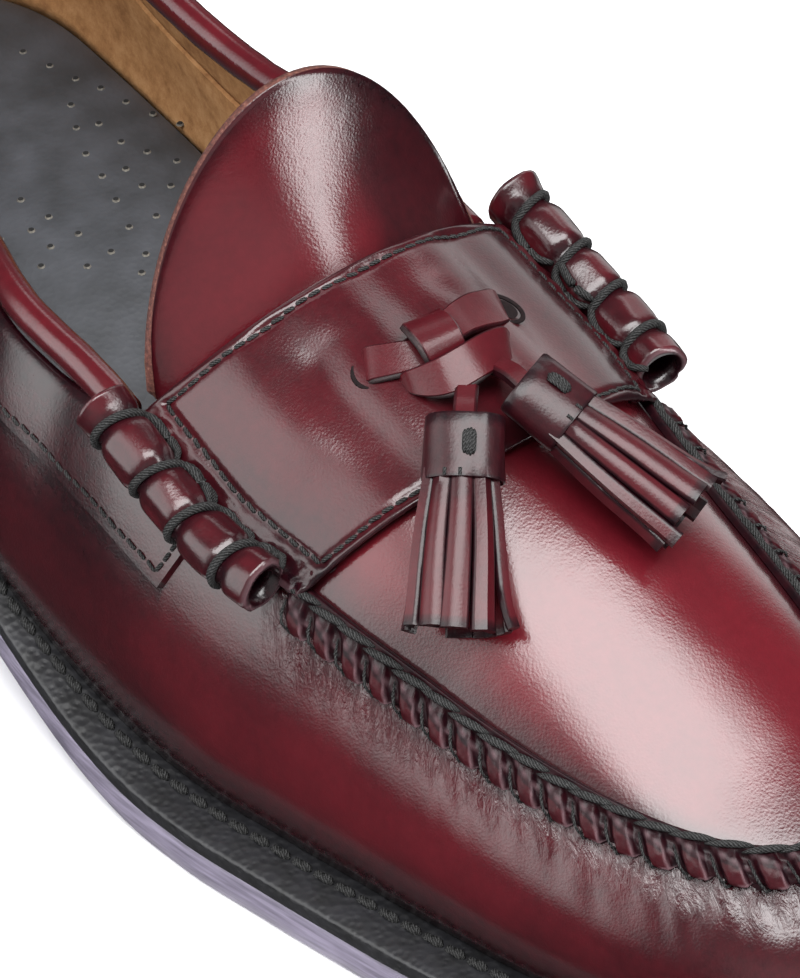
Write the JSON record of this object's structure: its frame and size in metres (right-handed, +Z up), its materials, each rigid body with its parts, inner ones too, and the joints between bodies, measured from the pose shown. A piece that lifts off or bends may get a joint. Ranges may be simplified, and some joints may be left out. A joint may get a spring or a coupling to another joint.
{
  "type": "tassel loafer",
  "caption": "Leather slip-on shoe with a gathered moccasin seam, a saddle strap with rolled ends, a knotted lace with tassels and a welted sole with a heel.",
  "frame": {"origin": "on the floor under the middle of the outsole's bounding box", "axes": "+X from heel to toe, +Y to the inner side of the foot, +Z up"},
  "size_m": [0.3, 0.1109, 0.1105],
  "materials": {
    "burgundy_leather": "polished burgundy leather, darker toward its edges",
    "dark_burgundy_leather": "polished dark burgundy leather",
    "charcoal_insole": "smooth charcoal lining leather",
    "dark_welt": "dark grained leather strip",
    "dark_sole_leather": "dark burnished sole edge",
    "black_rubber": "matt black rubber"
  },
  "bodies": {
    "root": {"upper": "burgundy_leather", "moc_seam": "dark_burgundy_leather", "tongue": "burgundy_leather", "saddle_strap": "burgundy_leather", "beef_roll_outer": "dark_burgundy_leather", "beef_roll_inner": "dark_burgundy_leather", "collar_bead": "burgundy_leather", "insole": "charcoal_insole", "welt": "dark_welt", "outsole": "dark_sole_leather", "heel_block": "dark_sole_leather", "heel_top_piece": "black_rubber", "lace_knot": "dark_burgundy_leather", "tassel_outer": "dark_burgundy_leather", "tassel_inner": "dark_burgundy_leather"}
  },
  "joints": []
}
